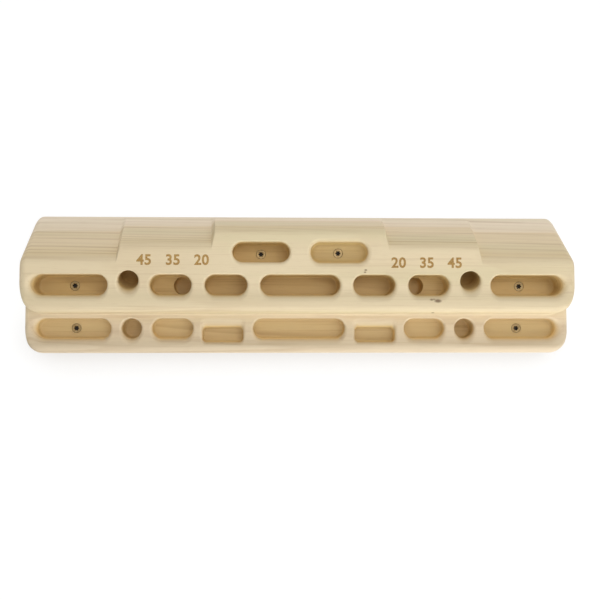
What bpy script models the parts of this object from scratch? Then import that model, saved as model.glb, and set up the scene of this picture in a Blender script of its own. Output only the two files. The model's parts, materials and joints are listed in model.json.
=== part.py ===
"""Wooden hangboard for finger training, milled from one block, with the six screws that hold it to a wall.

Metres, +Z up. The wall side is the plane y = 0 and the front faces -Y. The origin is the centre of the back face.
Heights are worked out above the board's bottom edge, and an empty at that edge carries every piece.
"""

import math
from dataclasses import dataclass

import bmesh
import bpy
from mathutils import Vector

# The block
WIDTH = 0.580
DEPTH = 0.058
LOWER_DEPTH = 0.035
LOWER_HEIGHT = 0.042
END_ROUND = 0.009
LOWER_END_ROUND = 0.004
FOOT_CORNER = 0.018
STEP_CORNER = 0.024
TOP_CORNER = 0.011
FOOT_ROUND = 0.009
STEP_ROUND = 0.008
STEP_HOLLOW = 0.003

# The slopers along the top, from the middle outwards
CREST_HEIGHT = 0.097
TOP_LAND = 0.005
TOP_ROUND = 0.002
CREST_ROUND = 0.012
SLOPES = (math.radians(20), math.radians(35), math.radians(45))
INNER_SLOPER = 0.0902
MIDDLE_SLOPER = 0.0978
ZONE_WALL = 0.005
ZONE_LEAN = 0.004

# The finger holds: every one is milled with the same cutter
CUTTER_RADIUS = 0.0105
FLOOR_ROUND = 0.0025
SHARP_LIP = 0.0018
SOFT_LIP = 0.0080
SIDE_LIP = 0.0030
OUTER_LIP = 0.0080

# The middle row stands on the step, from the middle slot outwards
MIDDLE_ROW_RISE = 0.0295
MIDDLE_SLOT = 0.083
MIDDLE_THREE_WEB = 0.0135
MIDDLE_THREE = 0.0439
MIDDLE_TWO_WEB = 0.0137
MIDDLE_TWO = 0.0429
MIDDLE_MONO_WEB = 0.0115
MIDDLE_MONO_LIFT = 0.0035
MIDDLE_MONO_CLIMB = math.radians(20)
MIDDLE_MONO_FLOOR_ROUND = 0.0070
MIDDLE_OUTER_WEB = 0.0108
MIDDLE_END_WALL = 0.0145
MIDDLE_SLOT_DEPTH = 0.025
MIDDLE_THREE_DEPTH = 0.025
MIDDLE_TWO_DEPTH = 0.022
MIDDLE_MONO_DEPTH = 0.030
MIDDLE_OUTER_DEPTH = 0.025
INNER_MONO_RADIUS = 0.0098
INNER_MONO_DEPTH = 0.014

# The lower row, in the set-back tier
LOWER_ROW_HEIGHT = 0.0265
LOWER_SLOT = 0.098
LOWER_THREE_WEB = 0.0105
LOWER_THREE = 0.0435
LOWER_TWO_WEB = 0.0097
LOWER_TWO = 0.0435
LOWER_MONO_WEB = 0.0110
LOWER_OUTER_WEB = 0.0111
LOWER_END_WALL = 0.0120
LOWER_ROW_DEPTH = 0.014
LOWER_MONO_DEPTH = 0.019
LOWER_SOFT_LIP = 0.0075
LOWER_OUTER_LIP = 0.0085
BROW_LIP = 0.0110
BROW_SOFT_LIP = 0.0040
BROW_RADIUS = 0.0077
BROW_CORNER = 0.0045
BROW_DROP = 0.0070

# The two upper pockets hang below the crest of the middle sloper
UPPER_ROW_DROP = 0.0252
UPPER_POCKET = 0.0595
UPPER_WEB = 0.0218
UPPER_LEFT_DEPTH = 0.025
UPPER_RIGHT_DEPTH = 0.014
DISH_FLOOR_ROUND = 0.0070
DISH_LIP = 0.0045

# The screws
SHANK_RADIUS = 0.0025
HEAD_RADIUS = 0.0050
HEAD_RIM = 0.0006
COUNTERSINK = math.radians(45)
TIP_LENGTH = 0.007
TIP_RADIUS = 0.0003
WALL_GRIP = 0.030
DRIVE_RADIUS = 0.0026
DRIVE_LOBE = 0.0004
DRIVE_DEPTH = 0.0022
FIT_GAP = 0.0003
SCREW_FROM_END = 0.039

# How finely round shapes are cut into facets
ARC_STEPS = 5
END_STEPS = 8
WALL_STEPS = 5
TURN_STEPS = 20
LOBES = 6

OVERRUN = 0.0010
WOOD = (0.70, 0.55, 0.36, 1.0)
ZINC = (0.62, 0.47, 0.24, 1.0)


@dataclass(frozen=True)
class Pocket:
    """A finger hold: a rounded slot milled straight in from a face of the board."""

    name: str
    x: float
    z: float
    length: float
    face: float
    depth: float
    top: float = SHARP_LIP
    bottom: float = SOFT_LIP
    left: float = SIDE_LIP
    right: float = SIDE_LIP
    radius: float = CUTTER_RADIUS
    corner: float = CUTTER_RADIUS
    floor_round: float = FLOOR_ROUND
    climb: float = 0.0
    brow: bool = False


def clear_scene():
    for obj in list(bpy.data.objects):
        bpy.data.objects.remove(obj, do_unlink=True)


def make_collection(name):
    collection = bpy.data.collections.new(name)
    bpy.context.scene.collection.children.link(collection)
    return collection


def make_material(name, colour, roughness, metallic):
    material = bpy.data.materials.new(name)
    material.use_nodes = True
    shader = material.node_tree.nodes["Principled BSDF"]
    shader.inputs["Base Color"].default_value = colour
    shader.inputs["Roughness"].default_value = roughness
    shader.inputs["Metallic"].default_value = metallic
    return material


def add_object(name, mesh, collection, material=None, parent=None):
    obj = bpy.data.objects.new(name, mesh)
    collection.objects.link(obj)
    obj.parent = parent
    if material:
        mesh.materials.append(material)
    return obj


def add_cutter(name, mesh, collection, parent):
    obj = add_object(name, mesh, collection, parent=parent)
    obj.hide_render = True
    obj.display_type = "WIRE"
    return obj


def loft(name, rings):
    """A closed mesh through rings that have the same number of points, with a flat cap on the first and the last."""
    shape = bmesh.new()
    loops = [[shape.verts.new(point) for point in ring] for ring in rings]
    for before, after in zip(loops, loops[1:]):
        for i in range(len(before)):
            j = (i + 1) % len(before)
            shape.faces.new((before[i], before[j], after[j], after[i]))
    shape.faces.new(loops[0][::-1])
    shape.faces.new(loops[-1])
    bmesh.ops.recalc_face_normals(shape, faces=shape.faces)
    mesh = bpy.data.meshes.new(name)
    shape.to_mesh(mesh)
    shape.free()
    return mesh


def rounded(corners):
    """The outline through (point, radius) corners, each replaced by an arc of ARC_STEPS facets."""
    points = []
    for i, (corner, radius) in enumerate(corners):
        before = (corners[i - 1][0] - corner).normalized()
        after = (corners[(i + 1) % len(corners)][0] - corner).normalized()
        if radius == 0:
            points.append(corner)
            continue
        half = before.angle(after) / 2
        reach = radius / math.tan(half)
        middle = corner + (before + after).normalized() * radius / math.sin(half)
        start, end = corner + before * reach - middle, corner + after * reach - middle
        turn = math.pi - 2 * half
        for step in range(ARC_STEPS + 1):
            share = step / ARC_STEPS
            spoke = start * math.sin((1 - share) * turn) + end * math.sin(share * turn)
            points.append(middle + spoke / math.sin(turn))
    return points


def corner_rise(x, radius):
    """How far a corner of this radius has risen above the straight edge, x from the board's middle."""
    into = max(0.0, abs(x) - (WIDTH / 2 - radius))
    return radius - math.sqrt(max(0.0, radius**2 - into**2))


def board_height():
    return CREST_HEIGHT + (DEPTH - TOP_LAND) * math.tan(SLOPES[-1])


def crest_height(slope):
    """Where the plane of this sloper would meet the plane of the front face."""
    return board_height() - (DEPTH - TOP_LAND) * math.tan(slope)


def step_corner():
    """The radius of the upper tier's lower corners, limited by the wall between step and crest at the board's end."""
    fall = (DEPTH - END_ROUND - TOP_LAND) * math.tan(SLOPES[-1]) + END_ROUND / math.cos(SLOPES[-1])
    wall = board_height() - fall - LOWER_HEIGHT - END_ROUND
    return min(STEP_CORNER, 0.8 * wall)


def section(x, slope):
    """The board's outline at x, as (out from the wall, up) points, drawn in towards the rounded ends.

    Where the front face between step and crest is too short for both of its roundings, they shrink together.
    """
    inset = corner_rise(x, END_ROUND)
    lower_inset = corner_rise(x, LOWER_END_ROUND)
    foot = corner_rise(x, FOOT_CORNER) + lower_inset
    step = LOWER_HEIGHT + corner_rise(x, step_corner()) + inset
    rise = corner_rise(x, TOP_CORNER)
    top = board_height() - rise
    crest = board_height() - (DEPTH - inset - TOP_LAND) * math.tan(slope) - inset / math.cos(slope)
    land = TOP_LAND + rise / math.tan(slope) - inset * math.tan(slope / 2)
    top_round = min(TOP_ROUND, 0.9 * land / math.tan(slope / 2))
    room = (crest - step) / (STEP_ROUND + CREST_ROUND * math.tan((math.pi / 2 - slope) / 2))
    ease = min(1.0, 0.95 * room)
    return rounded(
        [
            (Vector((0, foot)), 0),
            (Vector((LOWER_DEPTH - lower_inset, foot)), FOOT_ROUND),
            (Vector((LOWER_DEPTH - lower_inset, step)), STEP_HOLLOW),
            (Vector((DEPTH - inset, step)), STEP_ROUND * ease),
            (Vector((DEPTH - inset, crest)), CREST_ROUND * ease),
            (Vector((land, top - inset)), top_round),
            (Vector((0, top - inset)), 0),
        ]
    )


def half_sections():
    """(x, lean, outline) from the board's middle to its end, with a leaning wall between one sloper and the next."""
    edges = (INNER_SLOPER, INNER_SLOPER + MIDDLE_SLOPER)
    sections = []
    for edge, inner, outer in zip(edges, SLOPES, SLOPES[1:]):
        for step in range(WALL_STEPS + 1):
            t = step / WALL_STEPS
            x = edge + (t - 0.5) * ZONE_WALL
            share = t * t * (3 - 2 * t)
            pairs = zip(section(x, inner), section(x, outer))
            sections.append((x, ZONE_LEAN, [a.lerp(b, share) for a, b in pairs]))
    reach = max(FOOT_CORNER, step_corner(), TOP_CORNER, END_ROUND)
    for step in range(END_STEPS + 1):
        x = WIDTH / 2 - reach * (1 - math.sin(math.pi / 2 * step / END_STEPS))
        sections.append((x, 0.0, section(x, SLOPES[-1])))
    return sections


def block_mesh():
    """The block before its holds are milled: outlines lofted from the left end to the right end."""
    half = half_sections()
    whole = [(-x, -lean, outline) for x, lean, outline in reversed(half)] + half
    rings = []
    for x, lean, outline in whole:
        rings.append([(x + lean * (1 - out / DEPTH), -out, up) for out, up in outline])
    return loft("board", rings)


def slot_outline(pocket):
    """(x, z, outward direction) round the slot's edge, about its centre."""
    points = []
    across = max(pocket.length / 2, pocket.radius) - pocket.corner
    up = pocket.radius - pocket.corner
    for quarter, (side, lift) in enumerate(((1, 1), (-1, 1), (-1, -1), (1, -1))):
        for step in range(ARC_STEPS + 1):
            angle = math.pi / 2 * (quarter + step / ARC_STEPS)
            out = Vector((math.cos(angle), math.sin(angle)))
            place = Vector((side * across, lift * up)) + out * pocket.corner
            if not points or (place - points[-1][0]).length > 1e-6:
                points.append((place, out))
    if (points[0][0] - points[-1][0]).length <= 1e-6:
        points.pop()
    return points


def lip_radius(pocket, out):
    """The lip's radius in this direction, limited by the wall above the rounded floor."""
    side = pocket.right if out.x > 0 else pocket.left
    rise = pocket.top if out.y > 0 else pocket.bottom
    return min(side * out.x**2 + rise * out.y**2, 0.9 * (pocket.depth - pocket.floor_round))


def opened(pocket, place, out, offset):
    """Where a point of the slot's edge lies once its lip has opened. A brow lifts the whole upper edge."""
    if not pocket.brow:
        return place + out * offset(lip_radius(pocket, out))
    side = pocket.right if out.x > 0 else pocket.left
    rise = offset(pocket.top) if place.y > 0 else out.y * offset(pocket.bottom)
    return place + Vector((out.x * offset(side), rise))


def pocket_mesh(pocket):
    """The space that a hold takes from the block: a rounded lip, walls that may climb and a rounded floor."""
    outline = slot_outline(pocket)
    rings = []

    def ring(offset, depth):
        """A ring whose offset and depth follow the lip's radius at each point."""
        row = []
        for place, out in outline:
            x, z = opened(pocket, place, out, offset)
            deep = depth(lip_radius(pocket, out))
            row.append((x, deep, z + max(0.0, deep) * math.tan(pocket.climb)))
        rings.append(row)

    first = math.radians(20)
    flare = 1 / math.tan(first)
    edge = 1 - math.sin(first)
    drop = 1 - math.cos(first)
    ring(lambda lip: lip * edge + (OVERRUN + lip * drop) * flare, lambda lip: -OVERRUN)
    for angle in (first, math.radians(50), math.radians(90)):
        ring(lambda lip: lip * (1 - math.sin(angle)), lambda lip: lip * (1 - math.cos(angle)))
    for angle in (0, math.radians(45), math.radians(90)):
        inset = pocket.floor_round * (1 - math.cos(angle))
        floor = pocket.depth - pocket.floor_round * (1 - math.sin(angle))
        ring(lambda lip: -inset, lambda lip: floor)
    return loft(pocket.name, rings)


def row_of(name, spans, z, face):
    """Mirrored pairs of holds from (name, inner edge, length, settings) spans."""
    holds = []
    for hold, inner, length, settings in spans:
        for side, sign in (("left", -1), ("right", 1)):
            own = dict(settings)
            lift = own.pop("lift", 0.0)
            outer = own.pop("outer", SIDE_LIP)
            own["left" if sign < 0 else "right"] = outer
            centre = sign * (inner + length / 2)
            holds.append(Pocket(f"{name}_{hold}_{side}", centre, z + lift, length, face, **own))
    return holds


def middle_row():
    z = LOWER_HEIGHT + MIDDLE_ROW_RISE
    three = MIDDLE_SLOT / 2 + MIDDLE_THREE_WEB
    two = three + MIDDLE_THREE + MIDDLE_TWO_WEB
    mono = two + MIDDLE_TWO + MIDDLE_MONO_WEB
    outer = mono + 2 * CUTTER_RADIUS + MIDDLE_OUTER_WEB
    end = WIDTH / 2 - MIDDLE_END_WALL
    climbing = {"depth": MIDDLE_MONO_DEPTH, "lift": MIDDLE_MONO_LIFT, "climb": MIDDLE_MONO_CLIMB}
    climbing["floor_round"] = MIDDLE_MONO_FLOOR_ROUND
    spans = [
        ("three", three, MIDDLE_THREE, {"depth": MIDDLE_THREE_DEPTH}),
        ("two", two, MIDDLE_TWO, {"depth": MIDDLE_TWO_DEPTH}),
        ("mono", mono, 2 * CUTTER_RADIUS, climbing),
        ("outer", outer, end - outer, {"depth": MIDDLE_OUTER_DEPTH, "outer": OUTER_LIP}),
    ]
    slot = Pocket("middle_slot", 0, z, MIDDLE_SLOT, DEPTH, MIDDLE_SLOT_DEPTH)
    return [slot] + row_of("middle", spans, z, DEPTH)


def inner_monos(row):
    """A deeper round hole in the floor of each two-finger pocket of the middle row, at its inner end."""
    holds = []
    for pocket in row:
        if not pocket.name.startswith("middle_two"):
            continue
        shift = math.copysign(pocket.length / 2 - CUTTER_RADIUS, pocket.x)
        face = pocket.face - pocket.depth
        size = 2 * INNER_MONO_RADIUS
        own = {"radius": INNER_MONO_RADIUS, "corner": INNER_MONO_RADIUS}
        own.update(top=SHARP_LIP / 3, bottom=SHARP_LIP / 3, left=SHARP_LIP / 3, right=SHARP_LIP / 3)
        name = pocket.name + "_inner"
        holds.append(Pocket(name, pocket.x - shift, pocket.z, size, face, INNER_MONO_DEPTH, **own))
    return holds


def lower_row():
    z = LOWER_ROW_HEIGHT
    three = LOWER_SLOT / 2 + LOWER_THREE_WEB
    two = three + LOWER_THREE + LOWER_TWO_WEB
    mono = two + LOWER_TWO + LOWER_MONO_WEB
    outer = mono + 2 * CUTTER_RADIUS + LOWER_OUTER_WEB
    end = WIDTH / 2 - LOWER_END_WALL
    plain = {"depth": LOWER_ROW_DEPTH, "bottom": LOWER_SOFT_LIP}
    brow = {**plain, "top": BROW_LIP, "bottom": BROW_SOFT_LIP, "lift": -BROW_DROP}
    brow.update(radius=BROW_RADIUS, corner=BROW_CORNER, brow=True)
    spans = [
        ("three", three, LOWER_THREE, brow),
        ("two", two, LOWER_TWO, plain),
        ("mono", mono, 2 * CUTTER_RADIUS, {**plain, "depth": LOWER_MONO_DEPTH}),
        ("outer", outer, end - outer, {**plain, "outer": LOWER_OUTER_LIP}),
    ]
    slot = Pocket("lower_slot", 0, z, LOWER_SLOT, LOWER_DEPTH, **plain)
    return [slot] + row_of("lower", spans, z, LOWER_DEPTH)


def upper_row():
    z = crest_height(SLOPES[0]) - UPPER_ROW_DROP
    centre = (UPPER_WEB + UPPER_POCKET) / 2
    soft = {"top": DISH_LIP, "left": DISH_LIP, "right": DISH_LIP, "floor_round": DISH_FLOOR_ROUND}
    return [
        Pocket("upper_left", -centre, z, UPPER_POCKET, DEPTH, UPPER_LEFT_DEPTH, bottom=DISH_LIP),
        Pocket("upper_right", centre, z, UPPER_POCKET, DEPTH, UPPER_RIGHT_DEPTH, **soft),
    ]


def screw_places(holds):
    """(name, x, z, thickness of wood under the head) for each screw, from the holds that they stand in."""
    places = []
    for name, hold in holds.items():
        wood = hold.face - hold.depth
        if name.startswith("centre"):
            places.append((name, hold.x, hold.z, wood))
        else:
            end = hold.x + math.copysign(hold.length / 2, hold.x)
            places.append((name, end - math.copysign(SCREW_FROM_END, hold.x), hold.z, wood))
    return places


def turned(name, profile, collection, parent, material=None):
    """A solid of revolution about its own Z, from (radius, height) points listed top to bottom."""
    shape = bmesh.new()
    verts = [shape.verts.new((radius, 0, height)) for radius, height in profile]
    for pair in zip(verts, verts[1:]):
        shape.edges.new(pair)
    mesh = bpy.data.meshes.new(name)
    shape.to_mesh(mesh)
    shape.free()
    obj = add_object(name, mesh, collection, material, parent)
    screw = obj.modifiers.new("turn", "SCREW")
    screw.steps = TURN_STEPS
    screw.render_steps = TURN_STEPS
    screw.use_merge_vertices = True
    screw.merge_threshold = 0.00001
    screw.use_normal_calculate = True
    return obj


def hole_profile(wood):
    """Clearance hole and countersink, with their top at the hold's floor and the back beyond the wall side."""
    shank = SHANK_RADIUS + FIT_GAP
    head = HEAD_RADIUS + FIT_GAP
    rim = HEAD_RIM + FIT_GAP
    cone = (head - shank) / math.tan(COUNTERSINK)
    top = OVERRUN
    end = -wood - OVERRUN
    return [(0, top), (head, top), (head, -rim), (shank, -rim - cone), (shank, end), (0, end)]


def screw_profile(wood):
    """Countersunk head flush with the hold's floor, plain shank and a point in the wall."""
    top = -FIT_GAP
    rim = top - HEAD_RIM
    cone = rim - (HEAD_RADIUS - SHANK_RADIUS) / math.tan(COUNTERSINK)
    point = -wood - WALL_GRIP
    shank_end = point + TIP_LENGTH
    return [
        (0, top),
        (HEAD_RADIUS, top),
        (HEAD_RADIUS, rim),
        (SHANK_RADIUS, cone),
        (SHANK_RADIUS, shank_end),
        (TIP_RADIUS, point),
        (0, point),
    ]


def drive_mesh():
    """The six-lobed recess in a screw's head."""
    rings = []
    for height in (OVERRUN, -FIT_GAP - DRIVE_DEPTH):
        ring = []
        for step in range(2 * LOBES * 2):
            angle = math.pi * step / (2 * LOBES)
            radius = DRIVE_RADIUS + DRIVE_LOBE * (math.cos(LOBES * angle) - 1)
            ring.append((radius * math.cos(angle), radius * math.sin(angle), height))
        rings.append(ring)
    return loft("drive", rings)


def cut(target, cutters, name):
    """One exact Boolean that takes every object of a collection from the target."""
    modifier = target.modifiers.new(name, "BOOLEAN")
    modifier.operation = "DIFFERENCE"
    modifier.solver = "EXACT"
    modifier.operand_type = "COLLECTION"
    modifier.collection = cutters


def smooth(obj):
    obj.data.shade_smooth()
    obj.data.set_sharp_from_angle(angle=math.radians(35))


def place_in_wall(obj, x, z, wood):
    """Turns a screw or its hole so that its own +Z looks out of the board, with its top at the hold's floor."""
    obj.location = (x, -wood, z)
    obj.rotation_euler = (math.pi / 2, 0, 0)


def main():
    clear_scene()
    pieces = make_collection("hangboard")
    pocket_cutters = make_collection("pocket_cutters")
    drive_cutters = make_collection("drive_cutters")
    wood = make_material("pale_wood", WOOD, 0.55, 0.0)
    zinc = make_material("yellow_zinc", ZINC, 0.35, 0.9)

    bottom_edge = bpy.data.objects.new("bottom_edge", None)
    bottom_edge.location = (0, 0, -board_height() / 2)
    pieces.objects.link(bottom_edge)

    board = add_object("board", block_mesh(), pieces, wood, bottom_edge)
    smooth(board)
    middle = middle_row()
    lower = lower_row()
    upper = upper_row()
    for pocket in middle + inner_monos(middle) + lower + upper:
        cutter = add_cutter(pocket.name, pocket_mesh(pocket), pocket_cutters, bottom_edge)
        cutter.location = (pocket.x, -pocket.face, pocket.z)
        smooth(cutter)

    named = {pocket.name: pocket for pocket in middle + lower + upper}
    holds = {
        "upper_left": named["middle_outer_left"],
        "upper_right": named["middle_outer_right"],
        "centre_left": named["upper_left"],
        "centre_right": named["upper_right"],
        "lower_left": named["lower_outer_left"],
        "lower_right": named["lower_outer_right"],
    }
    for name, x, z, thickness in screw_places(holds):
        hole = turned(f"hole_{name}", hole_profile(thickness), pocket_cutters, bottom_edge)
        hole.hide_render = True
        hole.display_type = "WIRE"
        place_in_wall(hole, x, z, thickness)
        screw = turned(f"screw_{name}", screw_profile(thickness), pieces, bottom_edge, zinc)
        place_in_wall(screw, x, z, thickness)
        own_drive = make_collection(f"drive_{name}")
        drive_cutters.children.link(own_drive)
        bpy.context.scene.collection.children.unlink(own_drive)
        drive = add_cutter(f"recess_{name}", drive_mesh(), own_drive, bottom_edge)
        place_in_wall(drive, x, z, thickness)
        cut(screw, own_drive, "recess")
    cut(board, pocket_cutters, "holds")
    board.modifiers.new("even_faces", "WEIGHTED_NORMAL").keep_sharp = True


main()
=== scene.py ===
"""Dressed hangboard: one block of pale wood, its milled finger holds, six wood screws and a plain studio.

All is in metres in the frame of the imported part: the wall is the plane y = 0, the front faces -Y, +Z is up
and the origin is the centre of the board's back. Sizes called z are measured from the board's lower edge.
"""

from __future__ import annotations

import json
import logging
import math
from collections.abc import Iterable, Sequence
from dataclasses import dataclass, field, replace
from enum import Enum

import bmesh
import bpy
from bpy.types import ID, Material, Mesh, Node, NodeSocket, NodeTree, Object
from mathutils import Matrix, Vector
from mathutils.bvhtree import BVHTree

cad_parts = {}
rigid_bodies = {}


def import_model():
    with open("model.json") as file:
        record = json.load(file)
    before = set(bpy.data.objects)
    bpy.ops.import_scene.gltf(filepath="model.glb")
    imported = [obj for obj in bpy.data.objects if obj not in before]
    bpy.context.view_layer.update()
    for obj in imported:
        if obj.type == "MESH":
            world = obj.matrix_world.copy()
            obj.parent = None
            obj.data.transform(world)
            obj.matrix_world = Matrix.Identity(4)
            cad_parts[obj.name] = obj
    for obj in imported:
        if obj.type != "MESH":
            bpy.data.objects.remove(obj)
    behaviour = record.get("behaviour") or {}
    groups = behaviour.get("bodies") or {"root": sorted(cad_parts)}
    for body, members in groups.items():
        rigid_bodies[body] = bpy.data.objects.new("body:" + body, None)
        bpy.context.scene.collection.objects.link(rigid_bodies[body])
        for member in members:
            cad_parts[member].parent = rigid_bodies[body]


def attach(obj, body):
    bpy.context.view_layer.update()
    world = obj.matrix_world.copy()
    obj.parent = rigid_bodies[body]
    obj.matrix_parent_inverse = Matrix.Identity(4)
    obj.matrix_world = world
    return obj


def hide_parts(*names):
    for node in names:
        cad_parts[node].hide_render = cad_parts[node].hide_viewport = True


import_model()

BODY = "root"
QUARTER = math.pi / 2
LOG = logging.getLogger("hangboard")
Colour = tuple[float, float, float]
Place = tuple[float, float, float]
Noise = tuple[float, float, float]
Knot = tuple[float, float, float, float]
Span = tuple[float, float]
Ramp = tuple[float, float, float, float]
Tones = tuple[tuple[float, Colour], ...]
Key = str | int


# Node trees

class Field:
    """What a node's output carries. A number can be used with ordinary arithmetic."""

    def __init__(self, socket: NodeSocket) -> None:
        """Takes the output socket."""
        self.socket = socket
        self.tree = socket.id_data

    def __add__(self, other: Term) -> Field:
        """This plus other."""
        return self.math("ADD", other)

    def __sub__(self, other: Term) -> Field:
        """This minus other."""
        return self.math("SUBTRACT", other)

    def __rsub__(self, other: float) -> Field:
        """Other minus this."""
        return self.math("MULTIPLY_ADD", -1.0, other)

    def __mul__(self, other: Term) -> Field:
        """This times other."""
        return self.math("MULTIPLY", other)

    def __truediv__(self, other: Term) -> Field:
        """This divided by other."""
        return self.math("DIVIDE", other)

    def math(self, operation: str, *others: Term) -> Field:
        """The result of one Math node, such as "SINE", with its further terms."""
        return take(self.tree, "ShaderNodeMath", dict(enumerate((self, *others))), operation=operation)

    def clamped(self) -> Field:
        """This, held between 0 and 1."""
        return self.math("MAXIMUM", 0.0).math("MINIMUM", 1.0)

    def choose(self, low: Term, high: Term) -> Field:
        """Low where this is 0 and high where it is 1."""
        return self * (high - low) + low

    def ramp(self, start: float, end: float, low: float = 0.0, high: float = 1.0) -> Field:
        """A smooth step, from low at start to high at end."""
        inputs = {"Value": self, "From Min": start, "From Max": end, "To Min": low, "To Max": high}
        return take(self.tree, "ShaderNodeMapRange", inputs, "Result", interpolation_type="SMOOTHSTEP")


Term = Field | float


def feed(socket: NodeSocket, term: object) -> None:
    """Links a field to an input, or writes a constant into it.

    Args:
        socket: the input.
        term: a Field or a constant. A colour may leave out its alpha.
    """
    if isinstance(term, Field):
        socket.id_data.links.new(term.socket, socket)
    elif socket.type == "RGBA" and len(term) == 3:
        socket.default_value = (*term, 1.0)
    else:
        socket.default_value = term


def add_node(tree: NodeTree, kind: str, inputs: dict | None = None, **settings: object) -> Node:
    """A new node with its settings made and its inputs fed.

    Args:
        tree: the tree that gets it.
        kind: its type name.
        inputs: what feeds its inputs, by name or number.
        settings: its attributes.

    Returns:
        The node.
    """
    node = tree.nodes.new(kind)
    for name, value in settings.items():
        setattr(node, name, value)
    for key, term in (inputs or {}).items():
        feed(node.inputs[key], term)
    return node


def take(tree: NodeTree, kind: str, inputs: dict | None = None, output: Key = 0, **settings: object) -> Field:
    """One output of a new node, by its name or number."""
    return Field(add_node(tree, kind, inputs, **settings).outputs[output])


def mesh_value(tree: NodeTree, name: str) -> Field:
    """A number that the mesh carries at each point."""
    return take(tree, "ShaderNodeAttribute", output="Fac", attribute_name=name)


def axes(vector: Field) -> list[Field]:
    """The X, Y and Z of a vector."""
    return [Field(part) for part in add_node(vector.tree, "ShaderNodeSeparateXYZ", {0: vector}).outputs]


class Group:
    """A node group with named sockets, for shaders or for geometry."""

    def __init__(self, name: str, kind: str, inputs: dict[str, str], outputs: dict[str, str]) -> None:
        """Makes the group.

        Args:
            name: its name.
            kind: "ShaderNodeTree" or "GeometryNodeTree".
            inputs, outputs: socket types by name.
        """
        self.tree = bpy.data.node_groups.new(name, kind)
        for way, sockets in (("INPUT", inputs), ("OUTPUT", outputs)):
            for socket, socket_type in sockets.items():
                self.tree.interface.new_socket(name=socket, in_out=way, socket_type=socket_type)
        self._start = self.tree.nodes.new("NodeGroupInput")
        self._end = self.tree.nodes.new("NodeGroupOutput")

    def __getitem__(self, name: str) -> Field:
        """The group's input of this name."""
        return Field(self._start.outputs[name])

    def __setitem__(self, name: str, term: object) -> None:
        """Feeds the group's output of this name."""
        feed(self._end.inputs[name], term)

    def take(self, kind: str, inputs: dict | None = None, output: Key = 0, **settings: object) -> Field:
        """One output of a new node inside the group."""
        return take(self.tree, kind, inputs, output, **settings)

    def finish(self, geometry: Field) -> None:
        """Ends a geometry group in plain faces with the group's material."""
        solid = self.take("GeometryNodeRealizeInstances", {0: geometry})
        inputs = {"Geometry": solid, "Material": self["Material"]}
        self["Geometry"] = self.take("GeometryNodeSetMaterial", inputs)


# Meshes

def place_object(name: str, data: ID) -> Object:
    """A new object of this mesh, lamp, lens or text in the scene, at the origin."""
    obj = bpy.data.objects.new(name, data)
    bpy.context.scene.collection.objects.link(obj)
    return obj


def plain_mesh(obj: Object) -> Mesh:
    """A mesh of what an object's modifiers or letters make."""
    graph = bpy.context.evaluated_depsgraph_get()
    return bpy.data.meshes.new_from_object(obj.evaluated_get(graph), depsgraph=graph)


def settle(obj: Object) -> Object:
    """Turns what an object's modifiers make into its plain mesh.

    Args:
        obj: the object, whose modifiers are removed.

    Returns:
        The same object.
    """
    mesh = plain_mesh(obj)
    obj.modifiers.clear()
    obj.data = mesh
    return obj


def grow(name: str, tree: NodeTree, values: dict[str, object], mesh: Mesh | None = None) -> Object:
    """The plain mesh that a geometry tree makes.

    Args:
        name: the object's name.
        tree: the geometry tree.
        values: its inputs by socket name.
        mesh: the mesh that goes into it, if any.

    Returns:
        The object, with no modifier left.
    """
    obj = place_object(name, mesh or bpy.data.meshes.new(name))
    modifier = obj.modifiers.new("grow", "NODES")
    modifier.node_group = tree
    for item in tree.interface.items_tree:
        if item.in_out == "INPUT" and item.name in values:
            modifier[item.identifier] = values[item.name]
    return settle(obj)


def loft(name: str, rings: Sequence[Sequence[Place]]) -> Mesh:
    """A closed mesh through rings of equal length, capped at both ends.

    Args:
        name: its name.
        rings: points of each ring, in order.

    Returns:
        The mesh, with its faces turned outwards.
    """
    shape = bmesh.new()
    loops = [[shape.verts.new(point) for point in ring] for ring in rings]
    for before, after in zip(loops, loops[1:]):
        for i, _ in enumerate(before):
            j = (i + 1) % len(before)
            shape.faces.new((before[i], before[j], after[j], after[i]))
    shape.faces.new(loops[0][::-1])
    shape.faces.new(loops[-1])
    bmesh.ops.recalc_face_normals(shape, faces=shape.faces)
    mesh = bpy.data.meshes.new(name)
    shape.to_mesh(mesh)
    shape.free()
    return mesh


def write_values(mesh: Mesh, name: str, values: list[float]) -> None:
    """Gives each point of a mesh a number that materials can read."""
    mesh.attributes.new(name, "FLOAT", "POINT").data.foreach_set("value", values)


def mark_depth(mesh: Mesh, block: Mesh) -> None:
    """Writes how far each point lies below the uncut block's surface, as below_face. The back doesn't count.

    Args:
        mesh: the milled piece.
        block: the block before milling.
    """
    shape = bmesh.new()
    shape.from_mesh(block)
    facing_wall, on_back = 0.9, -1e-5
    back = [face for face in shape.faces if face.normal.y > facing_wall]
    bmesh.ops.delete(shape, geom=back, context="FACES_ONLY")
    surface = BVHTree.FromBMesh(shape)
    shape.free()
    places = [vertex.co for vertex in mesh.vertices]
    write_values(mesh, "below_face", [0.0 if p.y > on_back else surface.find_nearest(p)[3] for p in places])


def smooth_step(share: float) -> float:
    """An S-shaped run from 0 to 1."""
    return share * share * (3 - 2 * share)


def star(size: float, sides: int, lobe: float = 0.0, lobes: int = 6) -> list[Span]:
    """Points round the origin.

    Args:
        size: the outer radius.
        sides: how many points.
        lobe: how far the radius swings between the lobes, 0 for a circle.
        lobes: how many lobes.

    Returns:
        (across, up) points.
    """
    angles = [2 * math.pi * step / sides for step in range(sides)]
    radii = [size + lobe * (math.cos(lobes * angle) - 1) for angle in angles]
    return [(radius * math.cos(angle), radius * math.sin(angle)) for radius, angle in zip(radii, angles)]


# Finishes

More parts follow.
